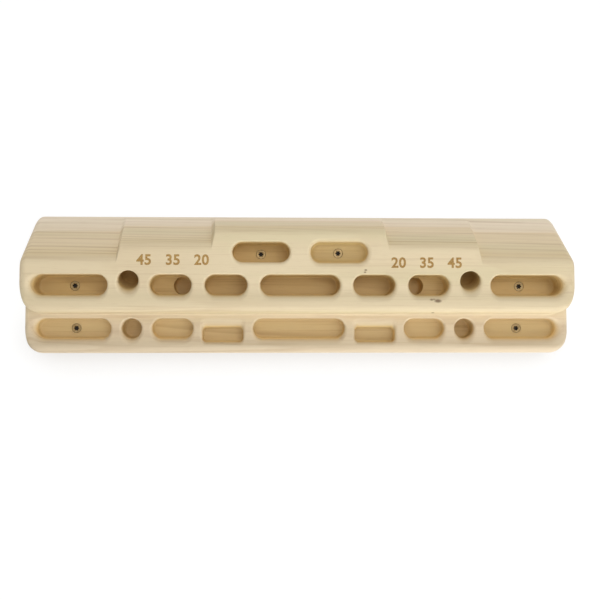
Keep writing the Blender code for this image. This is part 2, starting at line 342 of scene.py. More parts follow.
@dataclass(frozen=True)
class TimberGrain:
    """Growth rings, fibres and pores of wood whose grain runs along X, shared by every wooden finish.

    Each noise is given as its scale along the grain, its scale across it and its detail.
    """

    ring_spacing: float = 0.0045
    pith: Span = (0.270, 0.030)
    pith_slope: float = 0.020
    wander: float = 0.007
    year_scale: float = 75.0
    uneven_years: float = 1.8
    seed: float = 3.0
    sway: Noise = (3.0, 5.0, 1.0)
    roll: Noise = (2.6, 6.0, 1.0)
    fading: Noise = (9.0, 90.0, 1.0)
    bands: Noise = (1.6, 34.0, 2.0)
    fine_fibres: Noise = (9.0, 620.0, 3.0)
    broad_fibres: Noise = (5.0, 210.0, 2.0)
    pores: Noise = (70.0, 1900.0, 1.0)
    late_rise: Span = (0.40, 0.85)
    late_fall: Ramp = (0.88, 1.0, 1.0, 0.0)
    faded: Ramp = (0.36, 0.62, 0.45, 1.0)
    palest_ring: float = 0.15
    fine_share: float = 0.6
    pore_edge: Span = (0.62, 0.72)

    def group(self) -> Group:
        """Builds the node group.

        Returns:
            A group with Vector in, and Rings, Bands, Fibres and Pores out.
        """
        made = Group(
            "timber_grain", "ShaderNodeTree", {"Vector": "NodeSocketVector"},
            dict.fromkeys(("Rings", "Bands", "Fibres", "Pores"), "NodeSocketFloat"),
        )
        x, y, z = axes(made["Vector"])

        def noise(along: float, across: float, detail: float) -> Field:
            """Noise stretched along the grain."""
            inputs = {"Vector": made["Vector"], "Scale": (along, across, across)}
            mapped = made.take("ShaderNodeMapping", inputs, vector_type="POINT")
            return made.take("ShaderNodeTexNoise", {"Vector": mapped, "Scale": 1.0, "Detail": detail}, "Fac")

        out = y - self.pith[0] + x * self.pith_slope + (noise(*self.sway) - 0.5) * self.wander
        up = z - self.pith[1] + (noise(*self.roll) - 0.5) * self.wander
        radius = (out * out + up * up).math("SQRT")
        years = made.take(
            "ShaderNodeTexNoise", {"W": radius * self.year_scale, "Scale": 1.0, "Detail": 1.0}, "Fac",
            noise_dimensions="1D")
        turns = radius / self.ring_spacing + years * self.uneven_years
        phase = turns.math("FRACT")
        number = turns.math("FLOOR") + self.seed
        weight = made.take("ShaderNodeTexWhiteNoise", {"W": number}, "Value", noise_dimensions="1D")
        line = phase.ramp(*self.late_rise) * phase.ramp(*self.late_fall)
        faint = noise(*self.fading).ramp(*self.faded)
        palest, fine = self.palest_ring, self.fine_share
        made["Rings"] = line * faint * (weight.math("POWER", 2.0) * (1 - palest) + palest)
        made["Bands"] = noise(*self.bands)
        made["Fibres"] = noise(*self.fine_fibres) * fine + noise(*self.broad_fibres) * (1 - fine)
        made["Pores"] = noise(*self.pores).ramp(*self.pore_edge)
        return made


@dataclass(frozen=True)
class PaleWood:
    """Sanded, unvarnished pale wood: cream at the front, browner on the slopes, yellower down in the holds,
    with painted shade that darkens the holds, the lower tier and the face under the rows.

    It reads the mesh's below_face value, the distance below the block's own surface. Spans of height and the
    front's span are shares of the board's height and depth, and the other spans are in metres.
    """

    name: str = "pale_wood"
    depth_tones: Tones = (
        (-0.058, (0.770, 0.640, 0.430)),
        (-0.052, (0.740, 0.592, 0.358)),
        (-0.040, (0.805, 0.658, 0.440)),
        (-0.0268, (0.795, 0.645, 0.430)),
        (-0.0252, (0.800, 0.628, 0.410)),
        (-0.0232, (0.850, 0.708, 0.520)),
        (-0.010, (0.910, 0.775, 0.605)),
        (0.0, (0.915, 0.780, 0.620)),
    )
    # Painted shade and light by height: the lower tier is darker, most of all just under its holds, the face
    # just under the middle row is darker, and the band at the step is lighter.
    height_tones: Tones = (
        (-0.075, (0.90, 0.90, 0.95)),
        (-0.066, (0.73, 0.73, 0.73)),
        (-0.045, (0.86, 0.85, 0.87)),
        (-0.034, (1.00, 1.00, 1.00)),
        (-0.025, (0.95, 0.95, 0.92)),
        (-0.016, (0.88, 0.88, 0.84)),
        (-0.004, (0.99, 0.99, 0.97)),
        (0.020, (1.00, 1.00, 0.98)),
        (0.075, (1.00, 1.00, 1.00)),
    )
    # By depth below the face: the wood turns yellower inside the holds, and painted shade darkens it, most at
    # 13 mm down.
    hold_tones: Tones = (
        (0.0000, (0.94, 0.93, 0.87)),
        (0.0025, (0.98, 0.93, 0.78)),
        (0.0060, (1.01, 0.93, 0.69)),
        (0.0130, (0.78, 0.69, 0.46)),
        (0.0240, (0.88, 0.76, 0.47)),
        (0.0340, (1.00, 0.86, 0.52)),
    )
    late_wood: Colour = (0.500, 0.335, 0.175)
    green_cast: Colour = (0.640, 0.575, 0.350)
    knot_brown: Colour = (0.170, 0.095, 0.040)
    knots: tuple[Knot, ...] = (
        (0.0677, -0.0580, 0.0118, 0.0009),
        (0.0669, -0.0580, 0.0095, 0.0008),
        (0.1363, -0.0577, -0.0186, 0.0013),
        (0.1390, -0.0577, -0.0182, 0.0011),
        (0.1428, -0.0577, -0.0200, 0.0022),
        (0.1385, -0.0530, -0.0322, 0.0011),
    )
    knot_squeeze: Place = (0.6, 1.0, 1.0)
    knot_edge: Span = (0.4, 1.4)
    knot_strength: float = 0.85
    # Painted shade: the round mono holes and the deep holds near the middle are darkened and browned towards
    # shadow_brown.
    round_holes: float = 0.1776
    hole_edge: Span = (0.0100, 0.0125)
    narrow_heights: Span = (0.447, 0.580)
    narrow_dark: Span = (0.20, 0.46)
    inner_across: Span = (0.11, 0.18)
    inner_deep: Span = (0.028, 0.034)
    inner_above: Span = (0.26, 0.30)
    inner_below: Span = (0.56, 0.62)
    inner_dark: float = 0.13
    shadow_brown: Colour = (0.260, 0.110, 0.000)
    shadow_edge: Span = (0.0005, 0.006)
    lip: Span = (0.0, 0.0065)
    front: Span = (0.0, 0.10)
    lower_tier: Ramp = (0.26, 0.34, 0.6, 0.0)
    in_holds: Ramp = (0.002, 0.008, 1.0, 0.5)
    green_bands: Ramp = (0.45, 0.75, 0.0, 0.45)
    streak_edge: Span = (0.50, 0.72)
    streak_deep: Ramp = (0.008, 0.016, 0.30, 0.50)
    depth_sway: float = 0.10
    height_sway: float = 0.03
    ring_strength: float = 0.72
    front_figure: float = 0.24
    pore_strength: float = 0.16
    roughness: float = 0.56
    uneven_roughness: float = 0.25
    fibre_height: float = 0.7
    pore_drop: float = 0.6
    ring_drop: float = 0.3
    relief: float = 0.00006

    def material(self, grain: Group) -> Material:
        """The finish as a material.

        Args:
            grain: the shared grain group.

        Returns:
            The material.
        """
        material, tree, shader = new_material(self.name)
        place, rings, bands, fibres, pores = grain_in(tree, grain)
        x, y, z = axes(place)
        depth, colour = toned(y, self.depth_tones, (bands - 0.5) * self.depth_sway)
        # Painted shade and light by height.
        height, level = toned(z, self.height_tones, (bands - 0.5) * self.height_sway)
        below = mesh_value(tree, "below_face")
        # The holds' yellower tone and painted shade by depth.
        shade = toned(below, self.hold_tones)[1]
        # Painted shade in the round mono holes and in the deep holds near the middle.
        across = x.math("ABSOLUTE")
        narrow = (across - self.round_holes).math("ABSOLUTE").ramp(*self.hole_edge, 1.0, 0.0)
        narrow = narrow * height.ramp(*self.narrow_heights, *self.narrow_dark)
        inner = across.ramp(*self.inner_across, self.inner_dark, 0.0) * below.ramp(*self.inner_deep, 1.0, 0.0)
        inner = inner * height.ramp(*self.inner_above) * height.ramp(*self.inner_below, 1.0, 0.0)
        shade = mixed(narrow.math("MAXIMUM", inner) * below.ramp(*self.shadow_edge), shade, self.shadow_brown)
        # Near a hold's rim the painted shade by height blends into the holds' own tone and painted shade.
        shade = mixed(below.ramp(*self.lip), level, shade)
        plain = depth.ramp(*self.front, 1.0, 0.0).math("MAXIMUM", height.ramp(*self.lower_tier))
        marked = (plain * below.ramp(*self.in_holds)).choose(1.0, self.front_figure)
        colour = mixed(bands.ramp(*self.green_bands), colour, self.green_cast)
        streaks = fibres.ramp(*self.streak_edge) * below.ramp(*self.streak_deep)
        for share in (rings * marked * self.ring_strength, streaks, pores * self.pore_strength):
            colour = mixed(share, colour, self.late_wood)
        for *spot, size in self.knots:
            away = take(tree, "ShaderNodeVectorMath", {0: place, 1: spot}, operation="SUBTRACT")
            long = take(tree, "ShaderNodeVectorMath", {0: away, 1: self.knot_squeeze}, operation="MULTIPLY")
            gap = take(tree, "ShaderNodeVectorMath", {0: long}, "Value", operation="LENGTH")
            reach = gap + (fibres - 0.5) * size
            core, rim = (size * share for share in self.knot_edge)
            colour = mixed(reach.ramp(core, rim, self.knot_strength, 0.0), colour, self.knot_brown)
        feed(shader.inputs["Base Color"], tinted(colour, shade))
        feed(shader.inputs["Roughness"], (fibres - 0.5) * self.uneven_roughness + self.roughness)
        raised = fibres * self.fibre_height - pores * self.pore_drop - rings * self.ring_drop
        feed(shader.inputs["Normal"], bump(raised, self.relief))
        return material


@dataclass(frozen=True)
class BurntWood:
    """Wood browned by a hot line, as the angle marks are."""

    name: str = "burnt_wood"
    brown: Colour = (0.470, 0.285, 0.085)
    char: Colour = (0.330, 0.180, 0.050)
    roughness: float = 0.85
    relief: float = 0.00008
    spot_scale: float = 900.0
    spot_share: float = 0.6
    char_edge: Span = (0.42, 0.62)

    def material(self, grain: Group) -> Material:
        """The finish as a material.

        Args:
            grain: the shared grain group.

        Returns:
            The material.
        """
        material, tree, shader = new_material(self.name)
        place, _, _, fibres, _ = grain_in(tree, grain)
        spots = take(tree, "ShaderNodeTexNoise", {"Vector": place, "Scale": self.spot_scale}, "Fac")
        charred = (spots * self.spot_share + fibres * (1 - self.spot_share)).ramp(*self.char_edge)
        feed(shader.inputs["Base Color"], mixed(charred, self.brown, self.char))
        feed(shader.inputs["Roughness"], self.roughness)
        feed(shader.inputs["Normal"], bump(spots, self.relief))
        return material


@dataclass(frozen=True)
class YellowZinc:
    """Zinc plating with a yellow passivated film and turned marks, and painted shade in the drive recess,
    which turns near black and barely metallic.

    It reads the mesh's from_axis and in_recess values.
    """

    name: str = "yellow_zinc"
    film: Colour = (0.300, 0.200, 0.085)
    pale_film: Colour = (0.360, 0.260, 0.130)
    # The drive recess's painted shade.
    recess: Colour = (0.020, 0.012, 0.005)
    cloud_scale: float = 420.0
    cloud_edge: Span = (0.35, 0.65)
    metallic: float = 0.95
    recess_metallic: float = 0.15
    roughness: float = 0.28
    cloud_roughness: float = 0.2
    recess_roughness: float = 0.3
    turning_pitch: float = 0.00022
    turning_height: float = 0.5
    relief: float = 0.00002

    def material(self) -> Material:
        """The finish as a material.

        Returns:
            The material.
        """
        material, tree, shader = new_material(self.name)
        place = take(tree, "ShaderNodeTexCoord", output="Object")
        cloud = take(tree, "ShaderNodeTexNoise", {"Vector": place, "Scale": self.cloud_scale}, "Fac")
        radius, inside = mesh_value(tree, "from_axis"), mesh_value(tree, "in_recess")
        # Painted shade: the drive recess turns near black, barely metallic and rougher.
        colour = mixed(inside, mixed(cloud.ramp(*self.cloud_edge), self.film, self.pale_film), self.recess)
        feed(shader.inputs["Base Color"], colour)
        feed(shader.inputs["Metallic"], inside * (self.recess_metallic - self.metallic) + self.metallic)
        matt = cloud * self.cloud_roughness + inside * self.recess_roughness
        feed(shader.inputs["Roughness"], matt + self.roughness)
        turned = (radius * (2 * math.pi / self.turning_pitch)).math("SINE")
        feed(shader.inputs["Normal"], bump(turned * self.turning_height + cloud, self.relief))
        return material


@dataclass(frozen=True)
class StudioPaper:
    """White paper: the camera, gloss and glass see it near white, and its glow carries a painted soft shadow
    of the object, warm, only on its low parts and strongest below the board's lower edge.
    """

    name: str
    glow: float = 0.80
    paper: Colour = (0.90, 0.90, 0.89)
    white: Colour = (1.10, 1.10, 1.10)
    mottled: Colour = (0.88, 0.88, 0.87)
    # The painted shadow: its colour, how far from the object it reaches, the heights over which it fades and
    # its samples.
    shadow: Colour = (0.60, 0.56, 0.51)
    shadow_reach: float = 0.045
    shadow_top: Span = (-0.075, -0.020)
    shadow_samples: int = 16
    mottle_scale: float = 30.0
    mottle_strength: float = 0.05
    clear_from_behind: bool = False

    def material(self) -> Material:
        """The finish as a material.

        Returns:
            The material.
        """
        material, tree, shader = new_material(self.name)
        mottle = take(tree, "ShaderNodeTexNoise", {"Scale": self.mottle_scale}, "Fac")
        colour = mixed(mottle * self.mottle_strength, self.paper, self.mottled)
        feed(shader.inputs["Base Color"], colour)
        feed(shader.inputs["Roughness"], 1.0)
        feed(shader.inputs["Specular IOR Level"], 0.0)
        height = axes(take(tree, "ShaderNodeTexCoord", output="Object"))[2]
        near = take(
            tree, "ShaderNodeAmbientOcclusion", {"Distance": self.shadow_reach}, "AO",
            samples=self.shadow_samples)
        # Painted shadow: the glow darkens towards the shadow colour where the object is near, only low down.
        dark = (1.0 - near) * height.ramp(*self.shadow_top, 1.0, 0.0)
        seen = mixed(dark, self.white, self.shadow)
        glow = take(tree, "ShaderNodeEmission", {"Color": seen, "Strength": 1.0})
        share = seen_directly(tree) * self.glow
        result = take(tree, "ShaderNodeMixShader", {0: share, 1: Field(shader.outputs[0]), 2: glow})
        if self.clear_from_behind:
            clear = take(tree, "ShaderNodeBsdfTransparent")
            behind = take(tree, "ShaderNodeNewGeometry", output="Backfacing")
            result = take(tree, "ShaderNodeMixShader", {0: behind, 1: result, 2: clear})
        feed(tree.nodes["Material Output"].inputs["Surface"], result)
        return material


def new_material(name: str) -> tuple[Material, NodeTree, Node]:
    """A material with its node tree and its Principled shader."""
    material = bpy.data.materials.new(name)
    material.use_nodes = True
    return material, material.node_tree, material.node_tree.nodes["Principled BSDF"]


def grain_in(tree: NodeTree, grain: Group) -> list[Field]:
    """The place on the object, and the grain's rings, bands, fibres and pores there."""
    place = take(tree, "ShaderNodeTexCoord", output="Object")
    figure = add_node(tree, "ShaderNodeGroup", {"Vector": place}, node_tree=grain.tree)
    return [place, *map(Field, figure.outputs)]


def seen_directly(tree: NodeTree) -> Field:
    """1 where the camera, gloss or glass looks, and 0 for light on its way elsewhere."""
    rays = add_node(tree, "ShaderNodeLightPath").outputs
    camera, gloss, glass = (Field(rays[f"Is {kind} Ray"]) for kind in ("Camera", "Glossy", "Transmission"))
    return (camera + gloss + glass).clamped()


def mixed(share: Field, first: Field | Colour, second: Field | Colour) -> Field:
    """A blend of two colours, with this share of the second."""
    return take(share.tree, "ShaderNodeMix", {0: share, 6: first, 7: second}, 2, data_type="RGBA")


def tinted(colour: Field, tint: Field) -> Field:
    """One colour multiplied by another."""
    inputs = {0: 1.0, 6: colour, 7: tint}
    return take(colour.tree, "ShaderNodeMix", inputs, 2, data_type="RGBA", blend_type="MULTIPLY")


def toned(place: Field, tones: Tones, sway: Term = 0.0) -> tuple[Field, Field]:
    """A colour looked up by a measured place.

    Args:
        place: the place, in metres.
        tones: (place, colour) pairs, in order.
        sway: what is added to the share.

    Returns:
        The share of the way from the first tone to the last, and the colour.
    """
    start, end = tones[0][0], tones[-1][0]
    share = (place - start) / (end - start) + sway
    node = add_node(place.tree, "ShaderNodeValToRGB", {"Fac": share})
    marks = node.color_ramp.elements
    while len(marks) < len(tones):
        marks.new(0.5)
    for mark, (at, colour) in zip(marks, tones):
        mark.position = (at - start) / (end - start)
        mark.color = (*colour, 1.0)
    return share, Field(node.outputs["Color"])


def bump(height: Field, distance: float) -> Field:
    """A normal from a height, in metres at a height of 1."""
    inputs = {"Strength": 1.0, "Distance": distance, "Height": height}
    return take(height.tree, "ShaderNodeBump", inputs, "Normal")


# The screws

@dataclass(frozen=True)
class WoodScrew:
    """A countersunk wood screw with a six-lobed drive, driven flush with the floor of its hold."""

    head_radius: float = 0.0050
    head_rim: float = 0.0006
    shank_radius: float = 0.0025
    core_radius: float = 0.0017
    tip_radius: float = 0.0003
    tip_length: float = 0.007
    wall_grip: float = 0.030
    fit_gap: float = 0.0003
    drive_radius: float = 0.0027
    drive_lobe: float = 0.00042
    drive_depth: float = 0.0022
    drive_margin: float = 0.0006
    drive_rim: float = 0.0001
    drive_chamfer: float = 0.0002
    drive_taper: float = 0.97
    drive_floor: float = 0.35
    root_slope: float = 0.001
    crease: float = 0.0003
    sides: int = 72
    pitch: float = 0.0026
    ridge: float = 0.0009
    ridge_start: Span = (0.0, 0.12)
    ridge_end: Ramp = (0.72, 1.0, 1.0, 0.18)
    turn_steps: int = 26
    thread_start: float = 0.004
    bevel: float = 0.00025
    sharp_angle: float = math.radians(30)
    hole_sides: int = 48
    overrun: float = 0.001

    def hole(self, place: Vector) -> Mesh:
        """The space of the countersunk hole.

        Args:
            place: the middle of its mouth.

        Returns:
            A closed mesh.
        """
        sizes = (self.head_radius, self.shank_radius, self.head_rim)
        head, shank, rim = (size + self.fit_gap for size in sizes)
        over = self.overrun
        turns = [(head, -over), (head, rim), (shank, rim + head - shank), (shank, over - place.y)]
        return loft("screw_hole", [
            [(place.x + across, place.y + deep, place.z + up) for across, up in star(radius, self.hole_sides)]
            for radius, deep in turns
        ])

    def thread(self) -> Group:
        """The thread's tree: a ridge that follows a spiral and thins out at both of its ends.

        Returns:
            A geometry group.
        """
        sockets = dict.fromkeys(("Turns", "Length", "Core", "Ridge", "Offset"), "NodeSocketFloat")
        made = Group(
            "screw_thread", "GeometryNodeTree",
            {"Geometry": "NodeSocketGeometry", **sockets, "Material": "NodeSocketMaterial"},
            {"Geometry": "NodeSocketGeometry"},
        )
        core, drop = made["Core"], made["Length"] * -1.0
        spiral = made.take("GeometryNodeCurveSpiral", {
            "Resolution": self.turn_steps, "Rotations": made["Turns"], "Start Radius": core,
            "End Radius": core, "Height": drop})
        along = made.take("GeometryNodeSplineParameter", output="Factor")
        taper = along.ramp(*self.ridge_start) * along.ramp(*self.ridge_end)
        profile = made.take("GeometryNodeCurvePrimitiveCircle", {"Resolution": 4, "Radius": made["Ridge"]})
        ridge = made.take("GeometryNodeCurveToMesh", {
            "Curve": spiral, "Profile Curve": profile, "Scale": taper, "Fill Caps": True})
        shift = made.take("ShaderNodeCombineXYZ", {"Z": made["Offset"]})
        moved = made.take("GeometryNodeTransform", {"Geometry": ridge, "Translation": shift})
        both = add_node(made.tree, "GeometryNodeJoinGeometry")
        for part in (made["Geometry"], moved):
            feed(both.inputs[0], part)
        made.finish(Field(both.outputs[0]))
        return made

    def body(self, wood: float) -> Mesh:
        """Head, drive recess, shank and point, with +Z out of the head.

        Args:
            wood: the wood's thickness under the hold.

        Returns:
            A closed mesh, with values that say how much painted shade each point of the drive recess gets.
        """
        top = -self.fit_gap
        rim = top - self.head_rim
        neck = rim - (self.head_radius - self.shank_radius)
        point = -wood - self.wall_grip
        start = -wood + self.thread_start
        base = top - self.drive_depth
        core, shank, head, drive = self.core_radius, self.shank_radius, self.head_radius, self.drive_radius
        outside = [
            (self.tip_radius, point), (core, point + self.tip_length), (core, start - self.root_slope),
            (shank, start), (shank, neck - self.crease), (shank, neck), (head, rim),
            (head, top - self.bevel), (head - self.bevel, top), (drive + self.drive_margin, top),
        ]
        # The last number of each recess ring is how much painted shade it gets.
        recess = [
            (drive + self.drive_rim, top, self.drive_lobe, 0.2),
            (drive, top - self.drive_chamfer, self.drive_lobe, 0.9),
            (drive * self.drive_taper, base, self.drive_lobe, 1.0),
            (drive * self.drive_floor, base - self.crease, 0.0, 1.0),
        ]
        rings, inside = [], []
        for size, height, lobe, dark in [(*turn, 0.0, 0.0) for turn in outside] + recess:
            rings.append([(across, up, height) for across, up in star(size, self.sides, lobe)])
            inside += [dark] * self.sides
        mesh = loft("screw", rings)
        write_values(mesh, "in_recess", inside)
        mesh.shade_smooth()
        mesh.set_sharp_from_angle(angle=self.sharp_angle)
        return mesh

    def build(self, name: str, place: Vector, thread: Group, finish: Material) -> Object:
        """Makes one screw and drives it in.

        Args:
            name: which of the six it is.
            place: where its head meets the hold's floor.
            thread: the thread's tree.
            finish: the plating.

        Returns:
            The finished piece.
        """
        wood = -place.y
        length = self.wall_grip + self.thread_start - self.tip_length / 2
        screw = grow(f"driven_screw_{name}", thread.tree, {
            "Turns": length / self.pitch, "Length": length, "Core": self.core_radius, "Ridge": self.ridge,
            "Offset": -wood + self.thread_start, "Material": finish}, self.body(wood))
        mesh = screw.data
        write_values(mesh, "from_axis", [vertex.co.xy.length for vertex in mesh.vertices])
        mesh.transform(Matrix.Translation(place) @ Matrix.Rotation(QUARTER, 4, "X"))
        declare(screw, "yellow_zinc", f"screw_{name}")
        return screw


# The board

class Side(Enum):
    """The board's two ends, with the sign of X at each."""

    LEFT = -1
    RIGHT = 1

    @property
    def word(self) -> str:
        """The end's name in piece names."""
        return self.name.lower()


@dataclass(frozen=True)
class Hold:
    """A finger hold: a rounded slot milled straight in from a face of the board."""

    name: str
    x: float
    z: float
    length: float
    face: float
    depth: float
    top: float = 0.0018
    bottom: float = 0.0080
    left: float = 0.0030
    right: float = 0.0030
    radius: float = 0.0105
    corner: float = 0.0105
    floor_round: float = 0.0025
    climb: float = 0.0
    brow: bool = False


@dataclass(frozen=True)
class Cutter:
    """The milling tree: it makes the space that one hold takes from the block."""

    corner_steps: int = 14
    lip_steps: int = 9
    floor_steps: int = 6
    first_angle: float = math.radians(5)
    overrun: float = 0.0002
    weld: float = 0.0000005
    wall_share: float = 0.9

    def tree(self) -> Group:
        """Builds the tree: a grid wrapped round the slot's outline, from above the face down to the floor.

        Returns:
            A geometry group, with the hold's sizes as inputs.
        """
        sizes = ("length", "radius", "corner", "depth", "floor_round", "climb")
        lips = ("top", "bottom", "left", "right")
        sockets = dict.fromkeys(sizes + lips, "NodeSocketFloat")
        sockets.update({"brow": "NodeSocketBool", "Material": "NodeSocketMaterial"})
        made = Group("finger_hold", "GeometryNodeTree", sockets, {"Geometry": "NodeSocketGeometry"})
        length, radius, corner, depth, floor_round, climb = (made[name] for name in sizes)
        top, bottom, left, right = (made[name] for name in lips)
        brow = made["brow"]
        per_quarter = self.corner_steps + 1
        around = 4 * per_quarter
        last = self.lip_steps + self.floor_steps + 4
        grid = made.take("GeometryNodeMeshGrid", {
            "Size X": 1.0, "Size Y": 1.0, "Vertices X": around + 1, "Vertices Y": last + 1})
        across_grid, along_grid, _ = axes(made.take("GeometryNodeInputPosition"))
        step = (across_grid * around + around / 2).math("ROUND").math("MODULO", float(around))
        ring = (along_grid * last + last / 2).math("ROUND")

        just_over = 0.0001
        quarter = (step / per_quarter + just_over).math("FLOOR")
        angle = (quarter + (step - quarter * per_quarter) / self.corner_steps) * QUARTER
        across, rise = angle.math("COSINE"), angle.math("SINE")
        middle = (quarter + 0.5) * QUARTER
        flat = (length / 2).math("MAXIMUM", radius) - corner
        edge_x = middle.math("COSINE").math("SIGN") * flat + across * corner
        edge_z = middle.math("SINE").math("SIGN") * (radius - corner) + rise * corner

        side = across.math("GREATER_THAN", 0.0).choose(left, right)
        level = rise.math("GREATER_THAN", 0.0).choose(bottom, top)
        wall = (depth - floor_round) * self.wall_share
        lip = (side * across * across + level * rise * rise).math("MINIMUM", wall)

        turn = ((ring - 2.0) / self.lip_steps).clamped() * (QUARTER - self.first_angle) + self.first_angle
        outside = ring.math("LESS_THAN", 1.5)
        lip_depth = outside.choose(lip * (1.0 - turn.math("COSINE")), -self.overrun)

        def opening(reach: Field) -> Field:
            """How far a lip of this radius has opened at a ring."""
            flare = (reach * (1 - math.cos(self.first_angle)) + self.overrun) / math.tan(self.first_angle)
            return reach * (1.0 - turn.math("SINE")) + outside * flare

        bend = ((ring - (self.lip_steps + 3.0)) / self.floor_steps).clamped() * QUARTER
        floor = ring.math("GREATER_THAN", self.lip_steps + 2.5)
        floor_offset = floor_round * (bend.math("COSINE") - 1.0)
        floor_depth = depth - floor_round * (1.0 - bend.math("SINE"))
        deep = floor.choose(lip_depth, floor_depth)
        above = quarter.math("LESS_THAN", 1.5)
        browed_rise = above.choose(rise * opening(bottom), opening(top))
        shift_x = floor.choose(across * brow.choose(opening(lip), opening(side)), across * floor_offset)
        shift_z = floor.choose(brow.choose(rise * opening(lip), browed_rise), rise * floor_offset)

        spread = ring.math("GREATER_THAN", 0.5) * ring.math("LESS_THAN", last - 0.5)
        x = (edge_x + shift_x) * spread
        z = (edge_z + shift_z) * spread + deep.math("MAXIMUM", 0.0) * climb.math("TANGENT")
        target = made.take("ShaderNodeCombineXYZ", {"X": x, "Y": deep, "Z": z})
        moved = made.take("GeometryNodeSetPosition", {"Geometry": grid, "Position": target})
        welded = made.take("GeometryNodeMergeByDistance", {"Geometry": moved, "Distance": self.weld})
        made.finish(made.take("GeometryNodeFlipFaces", {"Mesh": welded}))
        return made


@dataclass(frozen=True)
class Block:
    """The block before its holds are milled, as outlines that change along X."""

    width: float = 0.580
    depth: float = 0.058
    height: float = 0.150
    lower_depth: float = 0.035
    lower_height: float = 0.042
    end_round: float = 0.009
    lower_end_round: float = 0.004
    foot_corner: float = 0.018
    step_corner: float = 0.024
    top_corner: float = 0.011
    foot_round: float = 0.009
    step_round: float = 0.008
    step_hollow: float = 0.003
    top_land: float = 0.005
    top_round: float = 0.002
    crest_round: float = 0.012
    room_share: float = 0.95
    slopes: tuple[float, ...] = (math.radians(20), math.radians(35), math.radians(45))
    zone_ends: tuple[float, ...] = (0.0902, 0.1880)
    zone_wall: float = 0.005
    zone_lean: float = 0.004
    wall_steps: int = 12
    slope_steps: int = 16
    arc_steps: int = 14
    end_steps: int = 22

    def corner_rise(self, x: float, radius: float) -> float:
        """How far a corner of this radius has risen above the straight edge, x from the middle."""
        into = max(0.0, abs(x) - (self.width / 2 - radius))
        return radius - math.sqrt(max(0.0, radius**2 - into**2))

    def rounded(self, corners: Sequence[tuple[Vector, float]]) -> list[Vector]:
        """An outline with its corners rounded.

        Args:
            corners: (point, radius) pairs, in order.

        Returns:
            Its points.
        """
        points = []
        for i, (corner, radius) in enumerate(corners):
            before = (corners[i - 1][0] - corner).normalized()
            after = (corners[(i + 1) % len(corners)][0] - corner).normalized()
            if radius == 0:
                points.append(corner)
                continue
            half = before.angle(after) / 2
            reach = radius / math.tan(half)
            middle = corner + (before + after).normalized() * radius / math.sin(half)
            start, end = corner + before * reach - middle, corner + after * reach - middle
            turn = math.pi - 2 * half
            for step in range(self.arc_steps + 1):
                share = step / self.arc_steps
                spoke = start * math.sin((1 - share) * turn) + end * math.sin(share * turn)
                points.append(middle + spoke / math.sin(turn))
        return points

    def section(self, x: float, slope: float) -> list[Vector]:
        """The board's outline at x.

        Args:
            x: how far from the middle.
            slope: the sloper's angle there.

        Returns:
            (out, up) points.
        """
        inset = self.corner_rise(x, self.end_round)
        lower = self.lower_depth - self.corner_rise(x, self.lower_end_round)
        foot = self.corner_rise(x, self.foot_corner) + self.corner_rise(x, self.lower_end_round)
        step = self.lower_height + self.corner_rise(x, self.step_corner) + inset
        rise = self.corner_rise(x, self.top_corner)
        top = self.height - rise
        front = self.depth - inset
        crest = self.height - (front - self.top_land) * math.tan(slope) - inset / math.cos(slope)
        land = self.top_land + rise / math.tan(slope) - inset * math.tan(slope / 2)
        room = (crest - step) / (self.step_round + self.crest_round * math.tan((QUARTER - slope) / 2))
        ease = min(1.0, self.room_share * room)
        outline = self.rounded([
            (Vector((0, foot)), 0),
            (Vector((lower, foot)), self.foot_round),
            (Vector((lower, step)), self.step_hollow),
            (Vector((front, step)), self.step_round * ease),
            (Vector((front, crest)), self.crest_round * ease),
            (Vector((land, top - inset)), self.top_round),
            (Vector((0, top - inset)), 0),
        ])
        low = 4 * (self.arc_steps + 1)
        start, end = outline[low:low + 2]
        along = [start.lerp(end, i / self.slope_steps) for i in range(1, self.slope_steps)]
        return outline[:low + 1] + along + outline[low + 1:]

    def mesh(self) -> Mesh:
        """Lofts the block from end to end.

        Returns:
            A closed mesh.
        """
        half = []
        for edge, inner, outer in zip(self.zone_ends, self.slopes, self.slopes[1:]):
            for step in range(self.wall_steps + 1):
                share = step / self.wall_steps
                pairs = zip(self.section(edge, inner), self.section(edge, outer))
                outline = [a.lerp(b, smooth_step(share)) for a, b in pairs]
                half.append((edge + (share - 0.5) * self.zone_wall, self.zone_lean, outline))
        reach = max(self.foot_corner, self.step_corner, self.top_corner, self.end_round)
        for step in range(self.end_steps + 1):
            x = self.width / 2 - reach * (1 - math.sin(QUARTER * step / self.end_steps))
            half.append((x, 0.0, self.section(x, self.slopes[-1])))
        whole = [(-x, -lean, outline) for x, lean, outline in reversed(half)] + half
        lift = -self.height / 2
        return loft("block", [
            [(x + lean * (1 - p.x / self.depth), -p.x, p.y + lift) for p in outline]
            for x, lean, outline in whole
        ])


@dataclass(frozen=True)
class Row:
    """A row of holds: a slot in the middle and mirrored pairs of holds outwards from it."""

    name: str
    z: float
    face: float
    slot: float
    slot_depth: float
    spans: tuple[tuple[str, float, float, dict], ...]
    end_wall: float
    outer_depth: float
    plain: dict = field(default_factory=dict)
    outer_lip: float = 0.0080

    def holds(self, half_width: float) -> list[Hold]:
        """Places the row's holds.

        Args:
            half_width: half the board's width.

        Returns:
            The holds, from the middle outwards.
        """
        made = [Hold(f"{self.name}_slot", 0.0, self.z, self.slot, self.face, self.slot_depth, **self.plain)]
        inner = self.slot / 2
        for name, web, length, own in self.spans:
            inner += web
            length = length or half_width - self.end_wall - inner
            for side in Side:
                settings = {**self.plain, "depth": self.outer_depth, **own}
                lift = settings.pop("lift", 0.0)
                if name == "outer":
                    settings[side.word] = self.outer_lip
                size = (side.value * (inner + length / 2), self.z + lift, length, self.face)
                made.append(Hold(f"{self.name}_{name}_{side.word}", *size, **settings))
            inner += length
        return made


